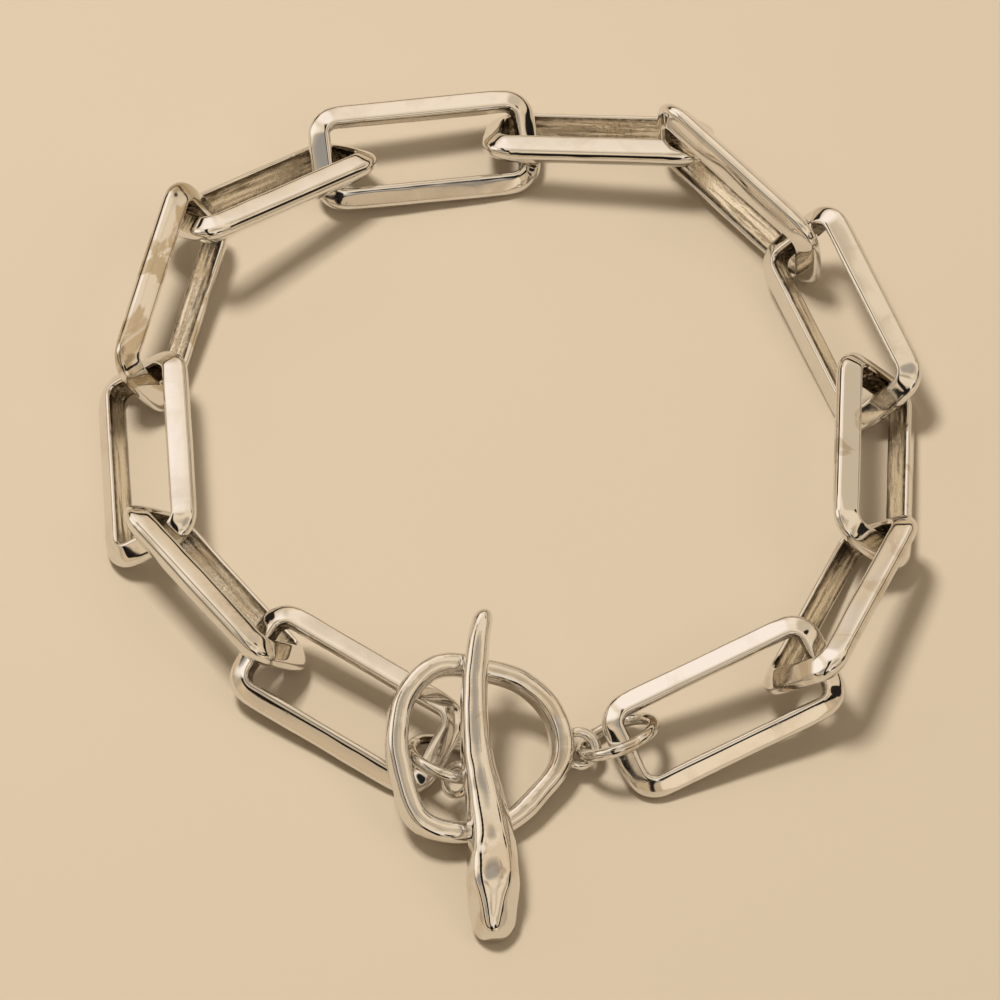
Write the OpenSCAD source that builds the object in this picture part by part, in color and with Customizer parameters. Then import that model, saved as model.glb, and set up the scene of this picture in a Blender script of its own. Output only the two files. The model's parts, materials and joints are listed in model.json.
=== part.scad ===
// Silver-coloured bracelet of twelve oblong cast links, closed by a toggle ring and a toggle bar.
// It lies on a flat surface as a closed loop, with +Z up and the origin at the middle of its base.
// All lengths are in millimetres.

/* [Link] */
// Outer length of a link
link_len = 18.6; // [16:0.2:20.4]
// Outer width of a link
link_wid = 8.66; // [8:0.02:9.8]
// Width of a link's bar, in the plane of the link
bar_w = 1.7; // [1.5:0.05:2]
// Depth of a link's bar at its inner wall, through the link
bar_t = 2.3; // [1.8:0.05:2.6]
// Depth of a link's bar at its outer edge
edge_t = 0.62; // [0.4:0.02:1.2]
// Outer radius of a link's corners
corner_r = 2.5; // [2.2:0.1:3.4]
// Width of the sloping faces, in the plane of the link
slope_w = 1.38; // [1:0.02:1.5]
// Width of the bevel on the inner edges
inner_bevel = 0.15; // [0.1:0.05:0.3]

/* [Toggle ring] */
// Mean diameter of the toggle ring, along the middle of its wire
ring_d = 13.2; // [12.6:0.1:13.8]
// Width of the ring's wire, in the plane of the ring
ring_w = 1.75; // [1.4:0.05:2]
// Depth of the ring's wire, through the ring
ring_t = 2.3; // [1.8:0.05:2.6]
// Outer diameter of the eye soldered to the ring
ring_eye_d = 3.4; // [3.2:0.1:3.6]
// Wire of the ring's eye
ring_eye_wire = 0.75; // [0.6:0.05:0.8]

/* [Toggle bar] */
// Length of the toggle bar
toggle_len = 26; // [23:0.2:28]
// Greatest width of the toggle bar
toggle_w = 4.3; // [3.8:0.1:4.6]
// Greatest height of the toggle bar
toggle_h = 3.2; // [2.8:0.1:3.6]
// Outer diameter of the eye soldered to the bar's side
bar_eye_d = 3; // [2.8:0.1:3.2]
// Wire of the bar's eye
bar_eye_wire = 0.65; // [0.5:0.05:0.7]

/* [Jump rings] */
// Outer diameter of the jump rings
jump_d = 6.9; // [6.7:0.1:7.2]
// Wire of the jump rings
jump_wire = 0.95; // [0.8:0.05:1]

/* [Hidden] */
links = 12;
link_names = ["link_01", "link_02", "link_03", "link_04", "link_05", "link_06",
    "link_07", "link_08", "link_09", "link_10", "link_11", "link_12"];

// Half lengths along the middle of the wire, and the corners' own radius there
mid_r = corner_r - bar_w / 2;
run_x = link_len / 2 - corner_r;
run_y = link_wid / 2 - corner_r;

// Section of a link's bar: [outwards in the plane, through the link]
link_section = [
    [bar_w / 2, edge_t / 2],
    [bar_w / 2 - slope_w, bar_t / 2],
    [inner_bevel - bar_w / 2, bar_t / 2],
    [-bar_w / 2, bar_t / 2 - inner_bevel],
    [-bar_w / 2, inner_bevel - bar_t / 2],
    [inner_bevel - bar_w / 2, -bar_t / 2],
    [bar_w / 2 - slope_w, -bar_t / 2],
    [bar_w / 2, -edge_t / 2]];

// Toggle ring: radius of the middle of its wire at even steps of angle, as shares of half ring_d
ring_shape = [1.02, 1.04, 1, 0.96, 1.07, 1.02, 0.94, 0.95, 1.1, 1, 0.93, 0.9];
// How far its edge is raised across its diameter: at the back, and at the left, where it lies on
// the last link
ring_rise = [4.19, 3.08];
ring_tilt = [asin(ring_rise[0] / ring_d), asin(ring_rise[1] / ring_d), 0];
ring_at = [-1.89, -25.46];
ring_stations = 60;
// Section of the ring's wire, as shares of half its width and half its depth
ring_section = [[1, 0.5], [0.78, 0.86], [0.4, 1], [-0.4, 1], [-0.78, 0.86], [-1, 0.5],
    [-1, -0.5], [-0.78, -0.86], [-0.4, -1], [0.4, -1], [0.78, -0.86], [1, -0.5]];

// A value on a smooth closed curve through evenly spaced values, t from 0 to 1
function closed_curve(v, t) = let (
    n = len(v),
    k = t * n,
    i = floor(k),
    f = k - i,
    a = v[(i + n - 1) % n],
    b = v[i % n],
    c = v[(i + 1) % n],
    d = v[(i + 2) % n])
    (2 * b + (c - a) * f + (2 * a - 5 * b + 4 * c - d) * f * f
    + (3 * b - a - 3 * c + d) * f * f * f) / 2;

function ring_radius(t) = closed_curve(ring_shape, (t % 1 + 1) % 1) * ring_d / 2;
function ring_mid(t) = ring_radius(t) * [cos(360 * t), sin(360 * t), 0];
function ring_out(t) = let (
    step = 0.001,
    run = ring_mid(t + step) - ring_mid(t - step))
    [run[1], -run[0], 0] / norm(run);
function ring_loop(t) = [for (q = ring_section)
    ring_mid(t) + ring_out(t) * q[0] * ring_w / 2 + [0, 0, q[1] * ring_t / 2]];

// The eye lies in the ring's plane, its middle this far outside the ring's wire
ring_eye_angle = 8;
ring_eye_proud = 0.5;
ring_eye_out = ring_radius(ring_eye_angle / 360) + ring_w / 2 + ring_eye_proud;

// A place of the ring's plane, seen from above
function on_ring(p) = ring_at + [
    p[0] * cos(ring_tilt[1]) + p[1] * sin(ring_tilt[0]) * sin(ring_tilt[1]),
    p[1] * cos(ring_tilt[0])];

// Rows of the ring's turn, for the height at which its lowest point meets the surface
ring_up = [-sin(ring_tilt[1]),
    cos(ring_tilt[1]) * sin(ring_tilt[0]),
    cos(ring_tilt[1]) * cos(ring_tilt[0])];
ring_points = [for (k = [0:ring_stations - 1]) each ring_loop(k / ring_stations)];
ring_z = -min([for (p = ring_points) p * ring_up]);

// How the chain lies, a row for each link: heading in the plan, how far its leading end is
// raised, how far it is rolled about its length, its step sideways from the link before, and
// the play between the two end bars that meet there
HEADING = 0;
PITCH = 1;
ROLL = 2;
SIDE = 3;
PLAY = 4;
lie = [
    [24, 10, 25, 0, 0],
    [66, -8, -45, -0.25, 1.1],
    [87, -3, 46, 0.3, 0.75],
    [113, 6, -41, -0.24, 0.85],
    [132, 2, -95, 0.43, 0.8],
    [175, -4, 35, -0.77, 1.1],
    [189, 3, -26, 0.14, 1],
    [217, 13, 35, 0.03, 0.8],
    [255, -6, -61, -0.34, 1.15],
    [274, 1, 36, -0.32, 0.45],
    [308, 0, -52, 0.67, 0.7],
    [327, -4, 22, -0.25, 0.8]];

// Where the chain meets the clasp in the plan: its first end bar from the middle of the ring's
// eye, and its last end bar from the middle of the ring's wire on its far side from the eye
first_end_from_eye = [3.5, -0.51];
last_end_from_wire = [3.22, 0.56];
first_end = on_ring(ring_eye_out * [cos(ring_eye_angle), sin(ring_eye_angle)]) + first_end_from_eye;
last_end = on_ring(ring_mid(0.5)) + last_end_from_wire;

// Middle of each link in the plan, worked out from the link before it, with the whole chain
// turned by turn[0] and each link turned by turn[1] more than the one before
function flat_along(i, turn) = let (h = lie[i][HEADING] + turn[0] + turn[1] * i)
    cos(lie[i][PITCH]) * [cos(h), sin(h)];
function place(i, turn) = i == 0 ? first_end + flat_along(0, turn) * (link_len - bar_w) / 2 : let (
    before = flat_along(i - 1, turn),
    after = flat_along(i, turn),
    way = (before + after) / norm(before + after),
    overlap = bar_w + lie[i][PLAY])
    place(i - 1, turn) + (before + after) * (link_len - bar_w) / 2 - way * overlap
    + [-way[1], way[0]] * lie[i][SIDE];

// The turns that bring the chain's last end bar to the clasp, in a few steps
close_steps = 4;
nudge = 0.1;
function miss(turn) = place(links - 1, turn) + flat_along(links - 1, turn) * (link_len - bar_w) / 2
    - last_end;
function closing(turn, steps) = steps == 0 ? turn : let (
    off = miss(turn),
    a = (miss(turn + [nudge, 0]) - off) / nudge,
    b = (miss(turn + [0, nudge]) - off) / nudge)
    closing(turn - [off[0] * b[1] - off[1] * b[0], off[1] * a[0] - off[0] * a[1]]
        / (a[0] * b[1] - a[1] * b[0]), steps - 1);
chain_turn = closing([0, 0], close_steps);

// Axes of a lying link: along it, across it and through it
function heading(i) = lie[i][HEADING] + chain_turn[0] + chain_turn[1] * i;
function along(i) = let (h = heading(i), p = lie[i][PITCH])
    [cos(p) * cos(h), cos(p) * sin(h), sin(p)];
function across(i) = let (h = heading(i), p = lie[i][PITCH], r = lie[i][ROLL])
    [-sin(p) * sin(r) * cos(h) - cos(r) * sin(h),
     -sin(p) * sin(r) * sin(h) + cos(r) * cos(h),
     cos(p) * sin(r)];
function through(i) = cross(along(i), across(i));

// How far a lying link reaches from its middle in a direction of the room
function reach(i, way) = let (
    du = way * along(i),
    ds = way * across(i),
    dn = way * through(i))
    run_x * abs(du) + run_y * abs(ds)
    + max([for (q = link_section) (mid_r + q[0]) * norm([du, ds]) + q[1] * dn]);

// Middle of each link as it lies, with its lowest point on the surface
places = [for (i = [0:links - 1]) place(i, chain_turn)];
function middle(i) = [places[i][0], places[i][1], reach(i, [0, 0, -1])];

// Toggle bar: sections from its near end, which rests on the surface, to its far tip, with
// named columns: place along it, middle sideways, half width, half width of the top, height
ALONG = 0;
OFF = 1;
HALF = 2;
TOP = 3;
HIGH = 4;
bar_shape = [
    [0, 0, 0.4, 0.2, 0.5],
    [0.02, 0, 0.62, 0.26, 0.7],
    [0.05, 0, 0.8, 0.3, 0.8],
    [0.1, 0, 0.9, 0.44, 0.9],
    [0.17, 0, 0.97, 0.66, 1],
    [0.23, 0.02, 0.92, 0.66, 0.97],
    [0.3, 0.04, 0.86, 0.54, 0.88],
    [0.42, 0.26, 0.73, 0.45, 0.76],
    [0.54, 0.52, 0.6, 0.4, 0.68],
    [0.67, 0.66, 0.52, 0.36, 0.64],
    [0.8, 0.64, 0.48, 0.32, 0.6],
    [0.92, 0.48, 0.43, 0.28, 0.56],
    [0.98, 0.34, 0.36, 0.2, 0.46],
    [1, 0.28, 0.22, 0.1, 0.3]];
bar_tilt = 18.7;
// Its near end in the plan, from the chain's last end bar
bar_from_last_end = [4.16, -15.6];
bar_at = [last_end[0] + bar_from_last_end[0], last_end[1] + bar_from_last_end[1], 0];
bar_steps = 4;

// A row between the table's rows, smoothed, k counted in rows
function row(v, i) = v[min(max(i, 0), len(v) - 1)];
function bar_row(k) = let (
    i = min(floor(k), len(bar_shape) - 2),
    f = k - i,
    a = row(bar_shape, i - 1),
    b = row(bar_shape, i),
    c = row(bar_shape, i + 1),
    d = row(bar_shape, i + 2))
    (2 * b + (c - a) * f + (2 * a - 5 * b + 4 * c - d) * f * f
    + (3 * b - a - 3 * c + d) * f * f * f) / 2;
function bar_loop(k) = let (
    s = bar_row(k),
    x = s[ALONG] * toggle_len,
    y = s[OFF] * toggle_w / 2,
    w = s[HALF] * toggle_w / 2,
    top = s[TOP] * toggle_w / 2,
    h = s[HIGH] * toggle_h,
    side = [[0.6 * w, 0], [w, 0.2 * h], [w, 0.42 * h], [(w + top) / 2, 0.72 * h],
        [top, 0.92 * h], [0.45 * top, h]])
    [for (q = side) [x, y - q[0], q[1]], for (j = [5:-1:0]) [x, y + side[j][0], side[j][1]]];

// The bar's eye hangs from its lower edge, on the side that faces the last link, at this row
// of the table: how far across the half width it starts, and how steeply it points down
bar_eye_row = 7.6;
bar_eye_across = 0.85;
bar_eye_lean = 40;

// Jump rings: middle of each, from the middle of the end bar that it holds, and the direction
// that it faces: turn in the plan and rise above it
jump_first_from = [-0.56, 1.11, 0.71];
jump_first_faces = [121.5, 48.2];
jump_last_from = [0.73, -0.63, 0.23];
jump_last_faces = [61.6, 53.6];

// Middle of a link's end bar, way 1 for its leading end and -1 for the other
function end_bar(i, way) = middle(i) + along(i) * way * (link_len - bar_w) / 2;

// The box round the whole part in the plan, to bring its middle to the origin
bar_loops = [for (k = [0:(len(bar_shape) - 1) * bar_steps]) bar_loop(k / bar_steps)];
side_x = [for (i = [0:links - 1]) middle(i)[0] + reach(i, [1, 0, 0])];
side_neg_x = [for (i = [0:links - 1]) middle(i)[0] - reach(i, [-1, 0, 0])];
side_y = [for (i = [0:links - 1]) middle(i)[1] + reach(i, [0, 1, 0])];
bar_y = [for (loop = bar_loops) for (p = loop) bar_at[1] + p[0] * cos(bar_tilt) - p[2] * sin(bar_tilt)];
box_middle = [(max(side_x) + min(side_neg_x)) / 2, (max(side_y) + min(bar_y)) / 2, 0];

// A closed surface through equal loops of points; a chain of loops gets two flat ends
module skin(loops, closed) {
    n = len(loops[0]);
    m = len(loops);
    points = [for (l = loops) each l];
    walls = [for (i = [0:m - (closed ? 1 : 2)]) for (j = [0:n - 1])
        let (a = i * n, b = ((i + 1) % m) * n, c = (j + 1) % n)
        each [[a + j, a + c, b + j], [a + c, b + c, b + j]]];
    ends = closed ? [] : [[for (j = [n - 1:-1:0]) j], [for (j = [0:n - 1]) (m - 1) * n + j]];
    polyhedron(points, concat(walls, ends), convexity = 6);
}

// A plain ring of round wire, lying in the XY plane
module wire_ring(outer_d, wire) {
    rotate_extrude($fn = 48)
        translate([(outer_d - wire) / 2, 0])
            circle(d = wire, $fn = 24);
}

module link_run(length) {
    rotate([90, 0, 90])
        linear_extrude(length)
            polygon(link_section);
}

module link_corner() {
    rotate_extrude(angle = 90, $fn = 48)
        translate([mid_r, 0])
            polygon(link_section);
}

// One cast link: four straight bars and four round corners, lying in the XY plane
module cast_link() {
    for (turn = [0, 180]) {
        rotate([0, 0, turn]) {
            translate([-run_x, run_y + mid_r, 0]) link_run(2 * run_x);
            translate([run_x + mid_r, run_y, 0]) rotate([0, 0, -90]) link_run(2 * run_y);
            translate([run_x, run_y, 0]) link_corner();
            translate([-run_x, run_y, 0]) rotate([0, 0, 90]) link_corner();
        }
    }
}

// Moves what follows to the frame of a lying link
module at_link(i) {
    translate(middle(i) - box_middle)
        rotate([lie[i][ROLL], -lie[i][PITCH], heading(i)])
            children();
}

module link(i) {
    color("silver") at_link(i) cast_link();
}

module at_ring() {
    translate([ring_at[0], ring_at[1], ring_z] - box_middle) rotate(ring_tilt) children();
}

module toggle_ring() {
    color("gainsboro") at_ring() {
        skin([for (k = [0:ring_stations - 1]) ring_loop(k / ring_stations)], true);
        rotate([0, 0, ring_eye_angle])
            translate([ring_eye_out, 0, 0])
                wire_ring(ring_eye_d, ring_eye_wire);
    }
}

module at_bar() {
    translate(bar_at - box_middle) rotate([0, -bar_tilt, 90]) children();
}

module toggle_bar() {
    seat = bar_row(bar_eye_row);
    root = (seat[OFF] + seat[HALF] * bar_eye_across) * toggle_w / 2;
    color("gainsboro") at_bar() {
        skin(bar_loops, false);
        translate([seat[ALONG] * toggle_len, root, 0])
            rotate([-bar_eye_lean, 0, 0])
                translate([0, bar_eye_d / 2 - bar_eye_wire, 0])
                    wire_ring(bar_eye_d, bar_eye_wire);
    }
}

module jump_ring(at, faces) {
    color("whitesmoke")
        translate(at - box_middle)
            rotate([0, 90 - faces[1], faces[0]])
                wire_ring(jump_d, jump_wire);
}

module jump_ring_first() {
    jump_ring(end_bar(0, -1) + jump_first_from, jump_first_faces);
}

module jump_ring_last() {
    jump_ring(end_bar(links - 1, 1) + jump_last_from, jump_last_faces);
}

for (i = [0:links - 1]) {
    link(i);
}
toggle_ring();
toggle_bar();
jump_ring_first();
jump_ring_last();
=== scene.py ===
import json
import math
import bpy
import numpy as np
from mathutils import Matrix, Vector

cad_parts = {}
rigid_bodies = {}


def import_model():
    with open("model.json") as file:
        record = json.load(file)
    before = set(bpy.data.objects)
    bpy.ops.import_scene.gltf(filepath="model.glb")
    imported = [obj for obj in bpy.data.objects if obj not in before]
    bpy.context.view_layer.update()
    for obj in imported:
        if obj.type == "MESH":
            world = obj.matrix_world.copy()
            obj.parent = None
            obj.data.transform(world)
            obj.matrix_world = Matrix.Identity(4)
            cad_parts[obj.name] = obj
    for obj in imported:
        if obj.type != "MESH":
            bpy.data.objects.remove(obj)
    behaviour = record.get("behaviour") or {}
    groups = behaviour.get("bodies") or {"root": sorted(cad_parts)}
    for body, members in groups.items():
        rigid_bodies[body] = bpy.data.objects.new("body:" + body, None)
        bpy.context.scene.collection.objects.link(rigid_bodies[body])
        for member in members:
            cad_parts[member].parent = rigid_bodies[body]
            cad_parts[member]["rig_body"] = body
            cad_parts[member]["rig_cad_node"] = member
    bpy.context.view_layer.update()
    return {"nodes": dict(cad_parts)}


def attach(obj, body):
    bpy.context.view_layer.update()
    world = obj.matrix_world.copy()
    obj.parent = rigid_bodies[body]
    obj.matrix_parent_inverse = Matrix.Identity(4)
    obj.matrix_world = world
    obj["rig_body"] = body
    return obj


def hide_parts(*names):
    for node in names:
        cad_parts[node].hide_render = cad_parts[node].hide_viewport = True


mm = 0.001
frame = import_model()
nodes = frame["nodes"]
linkNames = sorted(name for name in nodes if name.startswith("link_"))
print("frame loaded:", len(nodes), "nodes")


def clearPicks():
    # the imported nodes come in selected, and an operator acts on all that is selected
    if bpy.context.object and bpy.context.object.mode != "OBJECT":
        bpy.ops.object.mode_set(mode="OBJECT")
    bpy.ops.object.select_all(action="DESELECT")


def pickOnly(piece):
    clearPicks()
    piece.select_set(True)
    bpy.context.view_layer.objects.active = piece


def anyPart(mesh, part):
    return True


def pickParts(piece, mode, test):
    # leaves the piece in edit mode with only the faces or edges that pass the test selected
    pickOnly(piece)
    bpy.ops.object.mode_set(mode="EDIT")
    bpy.ops.mesh.select_mode(type=mode)
    bpy.ops.mesh.select_all(action="DESELECT")
    bpy.ops.object.mode_set(mode="OBJECT")
    mesh = piece.data
    parts = mesh.polygons if mode == "FACE" else mesh.edges
    for part in parts:
        part.select = test(mesh, part)
    bpy.ops.object.mode_set(mode="EDIT")


def endEdit():
    bpy.ops.object.mode_set(mode="OBJECT")


def addModifier(piece, kind, **settings):
    modifier = piece.modifiers.new(kind.lower(), kind)
    for key, value in settings.items():
        setattr(modifier, key, value)
    pickOnly(piece)
    bpy.ops.object.modifier_apply(modifier=modifier.name)


def rubSoft(piece, rounds, group=""):
    addModifier(piece, "SMOOTH", factor=0.5, iterations=rounds, vertex_group=group)


def smoothShading(piece):
    pickOnly(piece)
    bpy.ops.object.shade_smooth()


def poseOf(node):
    # middle and main axes of a node, longest first, from the areas of its own faces
    mesh = node.data
    mesh.calc_loop_triangles()
    corners = np.array([
        [mesh.vertices[i].co[:] for i in triangle.vertices] for triangle in mesh.loop_triangles])
    sides = np.cross(corners[:, 1] - corners[:, 0], corners[:, 2] - corners[:, 0])
    area = np.linalg.norm(sides, axis=1) / 2
    centre = corners.mean(1)
    middle = (centre * area[:, None]).sum(0) / area.sum()
    corners = corners - middle
    centre = centre - middle
    # a triangle's spread is a twelfth from each corner and nine twelfths from its centre
    spread = np.einsum("t,tki,tkj->ij", area / 12, corners, corners)
    spread = spread + np.einsum("t,ti,tj->ij", area * 9 / 12, centre, centre)
    axes = np.linalg.eigh(spread)[1][:, ::-1].T
    if np.dot(np.cross(axes[0], axes[1]), axes[2]) < 0:
        axes[2] = -axes[2]
    turn = Matrix([list(axis) for axis in axes]).transposed().to_4x4()
    return Matrix.Translation(Vector(middle)) @ turn


def addRipple(piece, name, size):
    # the slight unevenness of metal that was finished by hand
    texture = bpy.data.textures.new(name, "CLOUDS")
    texture.noise_scale = size["rippleSize"]
    texture.noise_depth = 1
    addModifier(piece, "DISPLACE", texture=texture, strength=size["ripple"], mid_level=0.5,
                texture_coords="LOCAL")


# Shader helpers

def addNode(tree, kind, place, inputs=None, **settings):
    node = tree.nodes.new(kind)
    node.location = place
    for key, value in settings.items():
        setattr(node, key, value)
    for key, value in (inputs or {}).items():
        if isinstance(value, bpy.types.NodeSocket):
            tree.links.new(value, node.inputs[key])
        else:
            node.inputs[key].default_value = value
    return node


def addMath(tree, place, operation, *values, **settings):
    node = addNode(tree, "ShaderNodeMath", place, dict(enumerate(values)),
                   operation=operation, **settings)
    return node.outputs["Value"]


def addRange(tree, place, value, start=(0.0, 1.0), end=(0.0, 1.0)):
    # maps the first pair of values to the second and holds what lies beyond
    node = addNode(tree, "ShaderNodeMapRange", place, {
        "Value": value, "From Min": start[0], "From Max": start[1],
        "To Min": end[0], "To Max": end[1]})
    return node.outputs["Result"]


def addLayer(tree, place, mask, below, above):
    node = addNode(tree, "ShaderNodeMix", place, {
        "Factor": mask, "A": below, "B": above}, data_type="RGBA")
    return node.outputs["Result"]


def newGroup(name, inputs, outputs):
    group = bpy.data.node_groups.new(name, "ShaderNodeTree")
    for direction, sockets in (("INPUT", inputs), ("OUTPUT", outputs)):
        for label, kind in sockets:
            group.interface.new_socket(name=label, in_out=direction, socket_type=kind)
    start = addNode(group, "NodeGroupInput", (-1200, 0))
    end = addNode(group, "NodeGroupOutput", (900, 0))
    return group, start, end


# the noise of haze, finger marks and hairlines, and the shares of it that show
handling = {
    "hazeNoise": {"Detail": 5.0, "Roughness": 0.6, "Distortion": 0.4}, "hazeRange": (0.5, 0.72),
    "smudgeNoise": {"Detail": 6.0, "Roughness": 0.55, "Distortion": 0.8},
    "smudgeRange": (0.545, 0.585),
    "scratchTurn": (0.4, 0.2, 0.7), "scratchStretch": (1.0, 12.0, 3.0),
    "scratchNoise": {"Detail": 3.0}, "scratchRange": (0.64, 0.8), "scratchHeight": 0.04 * mm}


def makeHandlingGroup(look):
    # finger marks and faint haze as masks, fine hairline scratches as a normal
    group, start, end = newGroup(
        "handlingMarks",
        [("Place", "NodeSocketVector"), ("Haze Size", "NodeSocketFloat"),
         ("Smudge Size", "NodeSocketFloat"), ("Scratch Size", "NodeSocketFloat"),
         ("Depth", "NodeSocketFloat")],
        [("Haze", "NodeSocketFloat"), ("Smudges", "NodeSocketFloat"),
         ("Normal", "NodeSocketVector")])
    place = start.outputs["Place"]
    haze = addNode(group, "ShaderNodeTexNoise", (-900, 200), {
        "Vector": place, "Scale": start.outputs["Haze Size"], **look["hazeNoise"]})
    hazeMask = addRange(group, (-650, 200), haze.outputs["Fac"], look["hazeRange"])
    smudge = addNode(group, "ShaderNodeTexNoise", (-900, 450), {
        "Vector": place, "Scale": start.outputs["Smudge Size"], **look["smudgeNoise"]})
    smudgeMask = addRange(group, (-650, 450), smudge.outputs["Fac"], look["smudgeRange"])
    stretched = addNode(group, "ShaderNodeMapping", (-900, -150), {
        "Vector": place, "Rotation": look["scratchTurn"], "Scale": look["scratchStretch"]})
    scratch = addNode(group, "ShaderNodeTexNoise", (-650, -150), {
        "Vector": stretched.outputs["Vector"], "Scale": start.outputs["Scratch Size"],
        **look["scratchNoise"]})
    scratchMask = addRange(group, (-400, -150), scratch.outputs["Fac"], look["scratchRange"])
    # hairlines show only where the haze is
    hazyScratches = addMath(group, (-150, 0), "MULTIPLY", scratchMask, hazeMask)
    bump = addNode(group, "ShaderNodeBump", (150, -100), {
        "Strength": start.outputs["Depth"], "Distance": look["scratchHeight"],
        "Height": hazyScratches})
    group.links.new(hazeMask, end.inputs["Haze"])
    group.links.new(smudgeMask, end.inputs["Smudges"])
    group.links.new(bump.outputs["Normal"], end.inputs["Normal"])
    return group


# grain, patches and pits of the rough cast skin
castSkin = {
    "gritNoise": {"Scale": 1500.0, "Detail": 4.0, "Roughness": 0.7},
    "patchNoise": {"Scale": 260.0, "Detail": 6.0, "Roughness": 0.65}, "patchRange": (0.34, 0.47),
    "pitScale": 700.0, "skinStrength": 0.7, "skinHeight": 0.12 * mm}


def makeCastGroup(look):
    # skin of unpolished casting: pits, streaks along the bar and dark patches
    group, start, end = newGroup(
        "castSkin",
        [("Place", "NodeSocketVector"), ("Streak", "NodeSocketVector")],
        [("Patches", "NodeSocketFloat"), ("Grit", "NodeSocketFloat"),
         ("Normal", "NodeSocketVector")])
    drawn = addNode(group, "ShaderNodeVectorMath", (-900, 150), {
        0: start.outputs["Place"], 1: start.outputs["Streak"]}, operation="MULTIPLY")
    patch = addNode(group, "ShaderNodeTexNoise", (-650, 250), {
        "Vector": drawn.outputs["Vector"], **look["patchNoise"]})
    patchMask = addRange(group, (-400, 250), patch.outputs["Fac"], look["patchRange"])
    grit = addNode(group, "ShaderNodeTexNoise", (-650, -100), {
        "Vector": start.outputs["Place"], **look["gritNoise"]})
    pits = addNode(group, "ShaderNodeTexVoronoi", (-650, -350), {
        "Vector": drawn.outputs["Vector"], "Scale": look["pitScale"]})
    height = addMath(group, (-150, -100), "ADD", grit.outputs["Fac"], pits.outputs["Distance"])
    bump = addNode(group, "ShaderNodeBump", (150, -100), {
        "Strength": look["skinStrength"], "Distance": look["skinHeight"], "Height": height})
    group.links.new(patchMask, end.inputs["Patches"])
    group.links.new(grit.outputs["Fac"], end.inputs["Grit"])
    group.links.new(bump.outputs["Normal"], end.inputs["Normal"])
    return group


handlingGroup = makeHandlingGroup(handling)
castGroup = makeCastGroup(castSkin)


def newMetal(name):
    material = bpy.data.materials.new(name)
    material.use_nodes = True
    tree = material.node_tree
    tree.nodes.clear()
    out = addNode(tree, "ShaderNodeOutputMaterial", (900, 0))
    metal = addNode(tree, "ShaderNodeBsdfPrincipled", (600, 0), {"Metallic": 1.0})
    tree.links.new(metal.outputs["BSDF"], out.inputs["Surface"])
    return material, tree, metal


def joinMetal(tree, metal, tone, rough, normal):
    tree.links.new(tone, metal.inputs["Base Color"])
    tree.links.new(rough, metal.inputs["Roughness"])
    tree.links.new(normal, metal.inputs["Normal"])


# tones of the clear, hazy and smudged metal, and how rough and how large the marks are
polish = {
    "links": {
        "tone": (0.83, 0.81, 0.785, 1), "haze": (0.75, 0.725, 0.69, 1),
        "smudge": (0.56, 0.48, 0.36, 1), "wear": "linkWear", "gloss": 0.05, "hazeRough": 0.15,
        "hazeSize": 210.0, "smudgeSize": 210.0, "scratchSize": 700.0, "depth": 0.14},
    "clasp": {
        "tone": (0.82, 0.80, 0.775, 1), "haze": (0.74, 0.715, 0.68, 1),
        "smudge": (0.74, 0.69, 0.62, 1), "wear": None, "gloss": 0.04, "hazeRough": 0.12,
        "hazeSize": 160.0, "smudgeSize": 110.0, "scratchSize": 620.0, "depth": 0.2},
    "wire": {
        "tone": (0.78, 0.765, 0.74, 1), "haze": (0.64, 0.615, 0.58, 1),
        "smudge": (0.60, 0.54, 0.46, 1), "wear": None, "gloss": 0.06, "hazeRough": 0.2,
        "hazeSize": 600.0, "smudgeSize": 420.0, "scratchSize": 1400.0, "depth": 0.3}}


def makePolish(name, look):
    material, tree, metal = newMetal(name)
    place = addNode(tree, "ShaderNodeTexCoord", (-600, 0))
    marks = addNode(tree, "ShaderNodeGroup", (-300, 0), node_tree=handlingGroup)
    tree.links.new(place.outputs["Object"], marks.inputs["Place"])
    marks.inputs["Haze Size"].default_value = look["hazeSize"]
    marks.inputs["Smudge Size"].default_value = look["smudgeSize"]
    marks.inputs["Scratch Size"].default_value = look["scratchSize"]
    marks.inputs["Depth"].default_value = look["depth"]
    smudges = marks.outputs["Smudges"]
    if look["wear"]:
        wear = addNode(tree, "ShaderNodeAttribute", (-300, 300), attribute_name=look["wear"])
        smudges = addMath(tree, (0, 300), "MULTIPLY", smudges, wear.outputs["Fac"])
    tone = addLayer(tree, (0, 150), marks.outputs["Haze"], look["tone"], look["haze"])
    tone = addLayer(tree, (200, 150), smudges, tone, look["smudge"])
    rough = addRange(tree, (0, -150), marks.outputs["Haze"],
                     end=(look["gloss"], look["hazeRough"]))
    joinMetal(tree, metal, tone, rough, marks.outputs["Normal"])
    return material


# the dark tone serves the cast skin's patches and the painted shade bands, which start and are
# full at these distances from the link's middle
castLook = {
    "tone": (0.90, 0.84, 0.73, 1), "dark": (0.12, 0.09, 0.055, 1), "roughness": (0.1, 0.32),
    "ends": (5.6 * mm, 7.4 * mm), "rim": (0.62 * mm, 0.86 * mm), "bandGain": 1.7,
    "streak": (0.35, 3.0, 3.0)}


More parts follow.
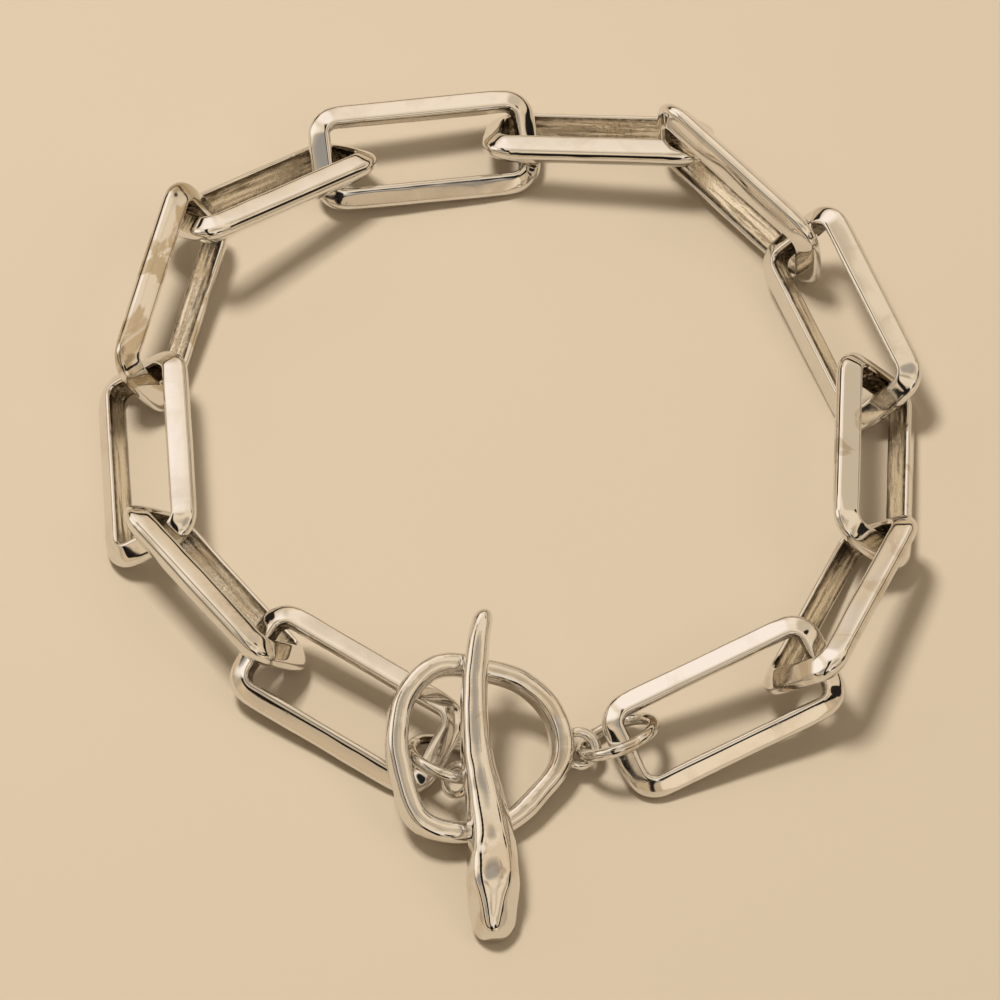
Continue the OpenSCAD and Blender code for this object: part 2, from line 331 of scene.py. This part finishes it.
def makeCast(name, look):
    material, tree, metal = newMetal(name)
    place = addNode(tree, "ShaderNodeAttribute", (-600, 0), attribute_name="linkPlace")
    skin = addNode(tree, "ShaderNodeGroup", (-300, 0), node_tree=castGroup)
    tree.links.new(place.outputs["Vector"], skin.inputs["Place"])
    skin.inputs["Streak"].default_value = look["streak"]
    tone = addLayer(tree, (0, 150), skin.outputs["Patches"], look["dark"], look["tone"])
    # painted shade: dark lines under the rims stand in for the mirrored shadow of the floor, and
    # the window's ends are darkened where the next link lies and shades them
    parts = addNode(tree, "ShaderNodeSeparateXYZ", (-600, 300), {0: place.outputs["Vector"]})
    for axis, shadeBand in (("X", "ends"), ("Z", "rim")):
        away = addMath(tree, (-400, 300), "ABSOLUTE", parts.outputs[axis])
        mask = addRange(tree, (-200, 300), away, look[shadeBand])
        broken = addMath(tree, (0, 300), "MULTIPLY", mask, skin.outputs["Grit"])
        full = addMath(tree, (100, 300), "MULTIPLY", broken, look["bandGain"], use_clamp=True)
        tone = addLayer(tree, (200, 150), full, tone, look["dark"])
    rough = addRange(tree, (0, -150), skin.outputs["Grit"], end=look["roughness"])
    joinMetal(tree, metal, tone, rough, skin.outputs["Normal"])
    return material


linkPolish = makePolish("linkPolish", polish["links"])
claspPolish = makePolish("claspPolish", polish["clasp"])
wirePolish = makePolish("wirePolish", polish["wire"])
castInside = makeCast("castInside", castLook)
print("materials made")

# Cast link, modelled once at its real size and copied to each place

castLink = {
    "length": 18.6 * mm, "width": 8.66 * mm, "depth": 2.3 * mm, "bar": 1.7 * mm,
    # how far each loop lies inside the outline, and its half depth, in mm
    "slopeLoops": ((0.0, 0.31), (0.20, 0.47), (1.18, 1.07), (1.38, 1.15)),
    "corner": 2.5 * mm, "cornerSteps": 10, "bevel": 0.15 * mm, "levels": 2,
    "cornerZone": 3.3 * mm, "cornerBlend": 0.8 * mm, "cornerSoftening": 30,
    "ridges": (-0.66, -0.3, 0.06, 0.4, 0.74), "ridgeDepth": 0.06 * mm, "wallSlack": 0.06 * mm,
    "flatFace": 0.9, "uprightFace": 0.3,
    "cutStep": 0.9 * mm, "ripple": 0.09 * mm, "rippleSize": 4.5 * mm, "markShift": 0.05}


def makeLinkTemplate(size):
    clearPicks()
    bpy.ops.mesh.primitive_cube_add(size=1, scale=(size["length"], size["width"], size["depth"]))
    link = bpy.context.object
    link.name = "linkTemplate"
    bpy.ops.object.transform_apply(scale=True)
    half = size["depth"] / 2
    tiny = 0.01 * mm
    loopSlack = 3 * tiny

    def outlineReach(v):
        # how far a point lies outside the outer outline, negative inside
        radius = size["corner"]
        dx = abs(v.x) - (size["length"] / 2 - radius)
        dy = abs(v.y) - (size["width"] / 2 - radius)
        if dx > 0 and dy > 0:
            return math.hypot(dx, dy) - radius
        return max(dx, dy) - radius

    def upright(mesh, edge):
        a, b = (mesh.vertices[i].co for i in edge.vertices)
        return abs(a.z - b.z) > half

    def flat(mesh, face):
        return abs(face.normal.z) > size["flatFace"]

    def onLoop(depthIn):
        # edges that run round the link, this far inside its outline
        return lambda mesh, edge: all(
            abs(outlineReach(mesh.vertices[i].co) + depthIn) < loopSlack for i in edge.vertices)

    def windowRim(mesh, edge):
        a, b = (mesh.vertices[i].co for i in edge.vertices)
        onTop = abs(abs(a.z) - half) < tiny and abs(a.z - b.z) < tiny
        return onTop and all(abs(outlineReach(v) + size["bar"]) < loopSlack for v in (a, b))

    def insideWindow(v):
        return outlineReach(v) < -size["bar"] + size["wallSlack"]

    def windowWall(mesh, face):
        return insideWindow(face.center) and abs(face.normal.z) < size["uprightFace"]

    def onRidge(level):
        return lambda mesh, edge: all(
            abs(mesh.vertices[i].co.z - level) < tiny and insideWindow(mesh.vertices[i].co)
            for i in edge.vertices)

    pickParts(link, "EDGE", upright)
    bpy.ops.mesh.bevel(offset=size["corner"], segments=size["cornerSteps"], profile=0.5,
                       affect="EDGES")
    endEdit()
    pickParts(link, "FACE", flat)
    steps = [loop[0] * mm for loop in size["slopeLoops"]] + [size["bar"]]
    for near, far in zip(steps, steps[1:]):
        bpy.ops.mesh.inset(thickness=far - near, depth=0, use_individual=True)
    bpy.ops.mesh.bridge_edge_loops()
    endEdit()
    # the loops are drawn in towards the middle, which makes the wide, slightly crowned slopes
    for depthIn, level in size["slopeLoops"]:
        pickParts(link, "EDGE", onLoop(depthIn * mm))
        bpy.ops.transform.resize(value=(1, 1, level * mm / half), center_override=(0, 0, 0))
        endEdit()
    pickParts(link, "EDGE", windowRim)
    bpy.ops.mesh.bevel(offset=size["bevel"], segments=1, affect="EDGES")
    endEdit()
    # rings of cuts across the bars, so that they can ripple
    pickParts(link, "FACE", anyPart)
    for axis, reach in ((0, size["length"]), (1, size["width"])):
        straight = reach / 2 - size["corner"]
        for k in range(int(2 * straight / size["cutStep"]) + 1):
            point = [0, 0, 0]
            way = [0, 0, 0]
            point[axis] = k * size["cutStep"] - straight
            way[axis] = 1
            bpy.ops.mesh.select_all(action="SELECT")
            bpy.ops.mesh.bisect(plane_co=point, plane_no=way)
    endEdit()
    # low ridges run along the window's walls, as the mould left them
    for level in size["ridges"]:
        pickParts(link, "FACE", windowWall)
        bpy.ops.mesh.bisect(plane_co=(0, 0, level * mm), plane_no=(0, 0, 1))
        endEdit()
    for level in size["ridges"][::2]:
        pickParts(link, "EDGE", onRidge(level * mm))
        bpy.ops.transform.shrink_fatten(value=size["ridgeDepth"])
        endEdit()
    # the window's walls stay as cast, the rest is polished
    link.data.materials.append(linkPolish)
    link.data.materials.append(castInside)
    for face in link.data.polygons:
        face.material_index = 1 if windowWall(link.data, face) else 0
    addModifier(link, "SUBSURF", levels=size["levels"], render_levels=size["levels"])
    # the corners are rubbed softer than the straight bars
    corners = link.vertex_groups.new(name="corners")
    for v in link.data.vertices:
        inside = min(abs(v.co.x) - size["length"] / 2 + size["cornerZone"],
                     abs(v.co.y) - size["width"] / 2 + size["cornerZone"])
        if inside > 0:
            corners.add([v.index], min(1.0, inside / size["cornerBlend"]), "REPLACE")
    rubSoft(link, size["cornerSoftening"], "corners")
    place = link.data.attributes.new("linkPlace", "FLOAT_VECTOR", "POINT")
    place.data.foreach_set("vector", [c for v in link.data.vertices for c in v.co])
    return link


# how much of the smudging shows on a link, for those that have more than the rest
worn = {"link_09": 0.9, "link_03": 0.7, "link_02": 0.35}
lightWear = 0.08


def makeLinks(size):
    template = makeLinkTemplate(size)
    for index, name in enumerate(linkNames):
        link = template.copy()
        link.data = template.data.copy()
        link.name = name.replace("link_", "castLink")
        bpy.context.scene.collection.objects.link(link)
        link.data.transform(poseOf(nodes[name]))
        # each link has its own streaks and patches, and its own share of smudges
        for item in link.data.attributes["linkPlace"].data:
            item.vector.y += size["markShift"] * index
        for item in link.data.attributes.new("linkWear", "FLOAT", "POINT").data:
            item.value = worn.get(name, lightWear)
        addRipple(link, "linkRipple", size)
        smoothShading(link)
        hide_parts(name)
        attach(link, "root")
    bpy.data.objects.remove(template)
    print("links made:", len(linkNames))


makeLinks(castLink)

# Clasp: softened copies of the ring and the bar, with their eyes blended in like solder

clasp = {
    "voxel": 0.09 * mm, "weld": 0.001 * mm, "ripple": 0.2 * mm, "rippleSize": 3.2 * mm,
    "wireSmoothing": 8, "bodySmoothing": 90, "eyeReach": (2.9 * mm, 3.9 * mm)}


def makeClaspPiece(nodeName, name, jumpName, size):
    piece = nodes[nodeName].copy()
    piece.data = nodes[nodeName].data.copy()
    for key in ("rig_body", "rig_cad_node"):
        del piece[key]
    piece.name = name
    piece.parent = None
    bpy.context.scene.collection.objects.link(piece)
    pickParts(piece, "FACE", anyPart)
    bpy.ops.mesh.remove_doubles(threshold=size["weld"])
    endEdit()
    addModifier(piece, "REMESH", mode="VOXEL", voxel_size=size["voxel"])
    rubSoft(piece, size["wireSmoothing"])
    # the eye, where the jump ring hangs, is thin wire, and only the rest is rubbed soft
    hanging = poseOf(nodes[jumpName]).translation
    eye = min((v.co for v in piece.data.vertices),
              key=lambda point: (point - hanging).length).copy()
    body = piece.vertex_groups.new(name="body")
    near, far = size["eyeReach"]
    for v in piece.data.vertices:
        share = ((v.co - eye).length - near) / (far - near)
        if share > 0:
            body.add([v.index], min(1.0, share), "REPLACE")
    rubSoft(piece, size["bodySmoothing"], "body")
    addRipple(piece, name + "Ripple", size)
    smoothShading(piece)
    piece.data.materials.clear()
    piece.data.materials.append(claspPolish)
    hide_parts(nodeName)
    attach(piece, "root")


makeClaspPiece("toggle_ring", "toggleRing", "jump_ring_first", clasp)
makeClaspPiece("toggle_bar", "toggleBar", "jump_ring_last", clasp)
print("clasp made")

# Jump rings, closed but for a hair of a slit

jumpRing = {"outer": 6.9 * mm, "wire": 0.95 * mm, "slit": 0.05 * mm,
            "stepsRound": 96, "stepsAcross": 20, "sharp": math.radians(40)}


def makeJumpRing(nodeName, name, size):
    halfSlit = size["slit"] / 2
    clearPicks()
    bpy.ops.mesh.primitive_torus_add(
        major_radius=(size["outer"] - size["wire"]) / 2, minor_radius=size["wire"] / 2,
        major_segments=size["stepsRound"], minor_segments=size["stepsAcross"])
    ring = bpy.context.object
    ring.name = name
    pickParts(ring, "FACE", anyPart)
    for side in (1, -1):
        bpy.ops.mesh.select_all(action="SELECT")
        bpy.ops.mesh.bisect(plane_co=(0, side * halfSlit, 0), plane_no=(0, 1, 0))
    endEdit()
    # the slit is opened only in the half of the ring at +X, and its two ends are capped
    pickParts(ring, "FACE", lambda mesh, face:
              face.center.x > 0 and abs(face.center.y) < halfSlit)
    bpy.ops.mesh.delete(type="FACE")
    bpy.ops.mesh.select_mode(type="EDGE")
    bpy.ops.mesh.select_non_manifold()
    bpy.ops.mesh.fill_holes(sides=0)
    endEdit()
    ring.data.transform(poseOf(nodes[nodeName]))
    pickOnly(ring)
    bpy.ops.object.shade_smooth_by_angle(angle=size["sharp"])
    ring.data.materials.append(wirePolish)
    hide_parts(nodeName)
    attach(ring, "root")


makeJumpRing("jump_ring_first", "jumpRingFirst", jumpRing)
makeJumpRing("jump_ring_last", "jumpRingLast", jumpRing)
print("jump rings made")

# Floor, lights and camera

floorLook = {"size": 4.0, "tone": (0.62, 0.54, 0.43, 1), "roughness": 0.75}
# tones of the room, and where its gap, its folds and its slot lie
room = {
    "backdrop": (0.86, 0.77, 0.64, 1), "low": (0.66, 0.48, 0.29, 1),
    "high": (0.90, 0.74, 0.54, 1), "rise": (0.05, 0.75), "fold": (0.52, 0.41, 0.28, 1),
    "foldNoise": {"Scale": 2.6, "Detail": 1.0, "Distortion": 0.6}, "foldRange": (0.48, 0.66),
    "dark": (0.012, 0.010, 0.008, 1), "gap": (0.25, 0.36), "strength": 1.0, "floorShare": 0.5,
    "slotAcross": (0.86, 0.0, 0.51), "slotEdge": (0.07, 0.10), "slotEnd": (0.30, 0.42)}
gapTone = (0.02, 0.017, 0.014, 1)
# each card of the room: where its middle stands (x, y, z), the cosines at its edge and its tone
cards = {
    "windowCard": ((-0.38, 0.62, 0.70), (0.925, 0.985), (1.14, 1.00, 0.87, 1)),
    "backCard": ((0.12, 0.72, 0.68), (0.94, 0.99), (1.03, 0.87, 0.69, 1)),
    "tanCard": ((0.46, 0.62, 0.63), (0.95, 0.985), (0.66, 0.54, 0.39, 1)),
    "doorGap": ((0.62, 0.42, 0.66), (0.9945, 0.996), gapTone),
    "hoodShade": ((0.0, -0.12, 0.99), (0.95, 0.985), (0.44, 0.38, 0.30, 1)),
    "leftCard": ((-0.86, 0.22, 0.46), (0.94, 0.98), (1.15, 1.04, 0.90, 1)),
    "frontCard": ((0.25, -0.80, 0.55), (0.94, 0.985), (0.95, 0.84, 0.70, 1)),
    "tableCard": ((0.47, -0.87, 0.15), (0.984, 0.994), (0.95, 0.78, 0.56, 1)),
    "crestGap": ((0.41, -0.80, 0.43), (0.98, 0.989), gapTone),
    "rightGap": ((0.93, -0.15, 0.36), (0.975, 0.98), gapTone),
    "sideShade": ((-0.66, -0.30, 0.69), (0.95, 0.985), (0.36, 0.33, 0.29, 1)),
    "farGap": ((-0.62, 0.72, 0.30), (0.985, 0.99), gapTone),
    "nearGap": ((-0.10, -0.97, 0.36), (0.975, 0.98), gapTone)}


def makeFloor(look):
    clearPicks()
    bpy.ops.mesh.primitive_plane_add(size=look["size"], location=(0, 0, 0))
    floor = bpy.context.object
    floor.name = "floor"
    material = bpy.data.materials.new("paleFloor")
    material.use_nodes = True
    surface = material.node_tree.nodes["Principled BSDF"]
    surface.inputs["Base Color"].default_value = look["tone"]
    surface.inputs["Roughness"].default_value = look["roughness"]
    floor.data.materials.append(material)


def makeWorld(setup, cards):
    # a warm room with soft white cards and narrow dark gaps, which the metal mirrors
    world = bpy.data.worlds.new("studioAir")
    bpy.context.scene.world = world
    world.use_nodes = True
    tree = world.node_tree
    back = tree.nodes["Background"]
    way = addNode(tree, "ShaderNodeTexCoord", (-1600, 0)).outputs["Generated"]
    parts = addNode(tree, "ShaderNodeSeparateXYZ", (-1400, 0), {0: way})
    rise = addRange(tree, (-1200, 0), parts.outputs["Z"], setup["rise"])
    tone = addLayer(tree, (-1000, 0), rise, setup["low"], setup["high"])
    folds = addNode(tree, "ShaderNodeTexNoise", (-1200, -300), {
        "Vector": way, **setup["foldNoise"]})
    foldMask = addRange(tree, (-1000, -300), folds.outputs["Fac"], setup["foldRange"])
    tone = addLayer(tree, (-800, 0), foldMask, tone, setup["fold"])
    # a narrow dark gap runs round the room above the table's edge
    gapStart, gapEnd = setup["gap"]
    above = addMath(tree, (-1200, 300), "GREATER_THAN", parts.outputs["Z"], gapStart)
    below = addMath(tree, (-1200, 450), "LESS_THAN", parts.outputs["Z"], gapEnd)
    gap = addMath(tree, (-1000, 350), "MULTIPLY", above, below)
    tone = addLayer(tree, (-600, 0), gap, tone, setup["dark"])
    for name, (aim, edge, look) in cards.items():
        near = addNode(tree, "ShaderNodeVectorMath", (-400, -300), {
            0: way, 1: Vector(aim).normalized()}, operation="DOT_PRODUCT")
        near.label = name
        mask = addRange(tree, (-200, -300), near.outputs["Value"], edge)
        tone = addLayer(tree, (0, 0), mask, tone, look)
    # a long dark slot overhead draws the black lines along the clasp's round metal
    side = addNode(tree, "ShaderNodeVectorMath", (-400, -600), {
        0: way, 1: setup["slotAcross"]}, operation="DOT_PRODUCT")
    off = addMath(tree, (-200, -600), "ABSOLUTE", side.outputs["Value"])
    width = addRange(tree, (0, -600), off, setup["slotEdge"], (1.0, 0.0))
    end = addRange(tree, (0, -800), parts.outputs["Y"], setup["slotEnd"], (1.0, 0.0))
    slot = addMath(tree, (100, -700), "MULTIPLY", width, end)
    tone = addLayer(tree, (150, 0), slot, tone, setup["dark"])
    ray = addNode(tree, "ShaderNodeLightPath", (0, 300))
    seen = addLayer(tree, (200, 0), ray.outputs["Is Camera Ray"], tone, setup["backdrop"])
    # the room lights the floor less than the metal mirrors it, so the shadows stay deep
    share = addRange(tree, (200, 300), ray.outputs["Is Diffuse Ray"],
                     end=(setup["strength"], setup["floorShare"]))
    tree.links.new(seen, back.inputs["Color"])
    tree.links.new(share, back.inputs["Strength"])


lights = {
    "keyLight": {"place": (-0.13, 0.10, 0.53), "size": 0.12, "power": 2.5,
                 "tone": (1.0, 0.94, 0.85)},
    "fillLight": {"place": (0.35, -0.2, 0.4), "size": 0.3, "power": 0.25,
                  "tone": (1.0, 0.95, 0.88)}}


def addSoftLight(name, look):
    # a square lamp that aims at the bracelet's middle
    light = bpy.data.lights.new(name, "AREA")
    light.size = look["size"]
    light.energy = look["power"]
    light.color = look["tone"]
    lamp = bpy.data.objects.new(name, light)
    bpy.context.scene.collection.objects.link(lamp)
    lamp.location = look["place"]
    lamp.rotation_euler = (-Vector(look["place"])).to_track_quat("-Z", "Y").to_euler()
    lamp.visible_glossy = False  # the metal mirrors only the room


makeFloor(floorLook)
makeWorld(room, cards)
for lightName, lightLook in lights.items():
    addSoftLight(lightName, lightLook)

view = {"elevation": 56.0, "distance": 625.0 * mm, "target": (-0.716 * mm, 1.834 * mm, 0.0),
        "lens": 285.75, "sensor": 36.0, "clip": (0.01, 10)}


def makeCamera(setup):
    camera = bpy.data.cameras.new("camera")
    camera.lens = setup["lens"]
    camera.sensor_width = setup["sensor"]
    camera.clip_start, camera.clip_end = setup["clip"]
    holder = bpy.data.objects.new("camera", camera)
    bpy.context.scene.collection.objects.link(holder)
    rise = math.radians(setup["elevation"])
    back = Vector((0, -math.cos(rise), math.sin(rise)))
    holder.location = Vector(setup["target"]) + back * setup["distance"]
    holder.rotation_euler = (math.pi / 2 - rise, 0, 0)
    bpy.context.scene.camera = holder


makeCamera(view)
bpy.context.scene.view_settings.view_transform = "Standard"
print("studio made")
